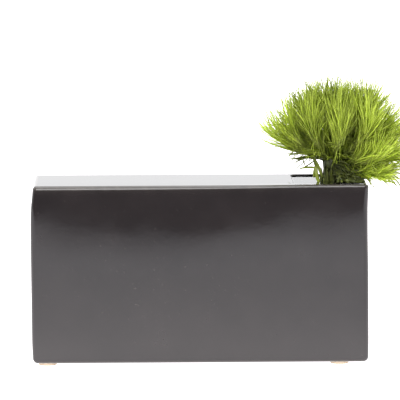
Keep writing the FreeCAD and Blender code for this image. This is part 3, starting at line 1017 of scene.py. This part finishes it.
def sheathSkin(given, rng):
    # Leaves that hug the stalk from under the water to the crown, quadratic curves too
    count = given["count"]
    turn = rng.uniform(0, fullTurn, count)
    away = xyz(np.cos(turn), np.sin(turn), 0 * turn)
    low, high = given["foot"]
    start = rng.uniform(top + low, top + high, count)
    foot = xyz(stalkX(start), 0 * start, start) + away * s["radius"] * 0.8
    foot[:, 0] -= given["left"] * smoothStep(0.2, 0.9, -away[:, 0])
    tip = foot + away * rng.uniform(*given["lean"], (count, 1)) + xyz(
        rng.uniform(*given["sway"], count), 0 * start, rng.uniform(*given["rise"], count))
    bend = (foot + tip) / 2 + away * 0.001
    line = quadratic(foot[:, None], bend[:, None], tip[:, None], bladeStations[None, :, None])
    side = unit(np.cross(np.array([0, 0, 1.0]), away))[:, None]
    half = (underWidth * 1.5 * bladeOutline)[None, :, None]
    rings = np.stack([line + side * half, line - side * half, line + away[:, None] * half * 0.6], axis=2)
    return skinTubes(rings, {"along": bladeStations, "shade": rng.uniform(0, 0.7, (count, 1))})


def rearSkin(given, rng):
    # Blades that stand up behind the crown and close the view through the head's middle
    count = given["count"]
    base = crown + xyz(*(rng.uniform(*given[key], count) for key in "xyz"))
    out = unit(xyz(rng.normal(0, 0.4, count), rng.uniform(0, 0.5, count), rng.uniform(0.3, 1, count)))
    tip = base + out * rng.uniform(*given["length"], (count, 1))
    control = (base + tip) / 2 + [0, 0.001, 0]
    return bladeSkin(base, control, tip, underWidth, rng.uniform(0.2, 1, count), rng)


def underSkin(given):
    rng = np.random.default_rng(given["seed"])
    makers = {"spray": spraySkin, "low": lowSkin, "sheath": sheathSkin, "rear": rearSkin}
    return joinSkins([make(given[kind], rng) for kind, make in makers.items()])


def makePaintedShadeGreen(given):
    # The same green far darker, as painted shade, and nearly opaque
    shade = Finish("shadeGreen")
    tint = shade.mix(shade.attribute("shade"), deeper(given["deep"], given["paintedShadeDeep"]),
                     deeper(given["lime"], given["paintedShadeLime"]))
    shade.colour(shade.mix(shade.mottle(Scale=700, Detail=2, High=0.6), tint, given["paintedShadeCloud"]))
    shade.set(Roughness=0.5)
    return shade.material


addPiece("underLeaves", underSkin(underValues), makePaintedShadeGreen(greenValues), "flower", "leaf_green")
print("undergrowth filled")


# Leaves from the upper joint: curved blades over the vessel's end and into the well

joint = (1000 * float(stalkX(np.array(jointZ))), 0, 1000 * jointZ)
level, tilted, frontal, upright = (0, 0, 1), (0, 0.5, 1), (0, 1, 0.2), (0, 1, 0)
leafOutline = np.array([0.45, 0.8, 0.97, 1.0, 0.93, 0.78, 0.55, 0.08])

# Each leaf: its start, middle, end and half width in mm, its tone, and which way its flat side faces
leafValues = {
    "endLeaves": [
        (joint, (96.2, -0.4, 113.6), (107, -0.8, 104.8), 1.6, 0.25, level),
        (joint, (97.5, -14, 113.8), (103.4, -22, 108.6), 1.2, 0.2, level),
        ((100, -10, 115.5), (109.5, -12, 111.8), (115.3, -12.5, 107), 0.7, 0.9, tilted),
        ((104, -8, 118.5), (112.5, -8, 115), (115, -8, 109.2), 0.8, 0.5, tilted),
        ((108, -5, 116.5), (119, -5, 110.5), (123.2, -5, 104), 0.6, 0.8, tilted),
        ((106, -13, 115), (115, -15, 112), (120, -16, 106.5), 0.6, 0.9, tilted),
        ((108, -7, 116), (119.5, -8.5, 112.4), (126.2, -9, 105.8), 0.6, 1, tilted),
        ((109, -5.5, 116.5), (122.5, -6.8, 113.8), (129.6, -7, 108.6), 0.8, 0.7, tilted),
    ],
    "rearLeaves": [
        (joint, (96.2, 8.3, 113.8), (105.7, 13.4, 106.8), 1.8, 0.3, level),
        (joint, (99, 5, 116.2), (114.5, 8.5, 108), 1, 0.7, level),
    ],
    "wellLeaves": [
        (joint, (75, -0.6, 110.8), (73.8, -1, 102.8), 1.5, 0.3, level),
        ((73.8, -4, 105), (71.2, -3, 118), (68.5, 0, 126.2), 0.7, 0.5, frontal),
        ((75.2, -3, 111), (72.2, -3.5, 119.2), (69.2, -2, 123.6), 1, 0.7, frontal),
        ((71.2, -3, 118), (71.8, -4.5, 112.5), (73.6, -5, 106.8), 1.2, 1, frontal),
        ((71.2, -3, 118), (70, -4, 114.5), (70.2, -4.5, 110.8), 0.6, 0.8, frontal),
        ((72.4, -3, 117.2), (66.7, -3.5, 117.5), (61.2, -4.5, 117), 0.7, 0.9, frontal),
        ((70, 0, 125), (63.2, -1, 123.2), (54.5, -2, 122.8), 0.6, 0.1, frontal),
        ((63, -2, 123.2), (64, -3, 120.5), (65.2, -3, 117.5), 0.4, 0.2, upright),
        ((60, -2, 128.5), (56.5, -3, 126.2), (54.1, -3, 123), 0.4, 0.6, upright),
        ((66, -1, 126.2), (64, -1, 128), (60, -1, 125), 0.4, 0.1, upright),
    ],
}


def leafSkin(start, middle, end, width, shade, facing):
    # One blade through three places: a quadratic curve that passes the middle one at its half,
    # with a shallow V section
    start, middle, end = np.array([start, middle, end], float) / 1000
    control = 2 * middle - (start + end) / 2
    t = np.linspace(0, 1, len(leafOutline))[:, None]
    line = quadratic(start, control, end, t)
    tangent = unit((1 - t) * (control - start) + t * (end - control))
    side = unit(np.cross(tangent, np.array(facing, float)))
    over = np.cross(side, tangent)
    half = (width / 1000 * leafOutline)[:, None]
    thick, valley = 0.00025, 0.25 * half
    across, lower = side * half, side * half * 0.96
    below = over * (valley - 1.4 * thick)
    rings = np.stack([
        line + across + over * valley, line + over * thick, line - across + over * valley,
        line - lower + below, line - over * thick, line + lower + below,
    ], axis=1)
    return skinTubes(rings[None], {"along": t.T, "shade": shade})


leafGreen = makeLeafGreen("leafGreen", greenValues, greenValues["leafDeepen"])
shown = {"endLeaves": "leaf_right", "rearLeaves": "leaf_right_rear", "wellLeaves": "leaf_well"}
for name, leaves in leafValues.items():
    skin = joinSkins([leafSkin(*leaf) for leaf in leaves])
    addPiece(name, skin, leafGreen, "flower", "leaf_green", shown[name])
print("leaves hung")
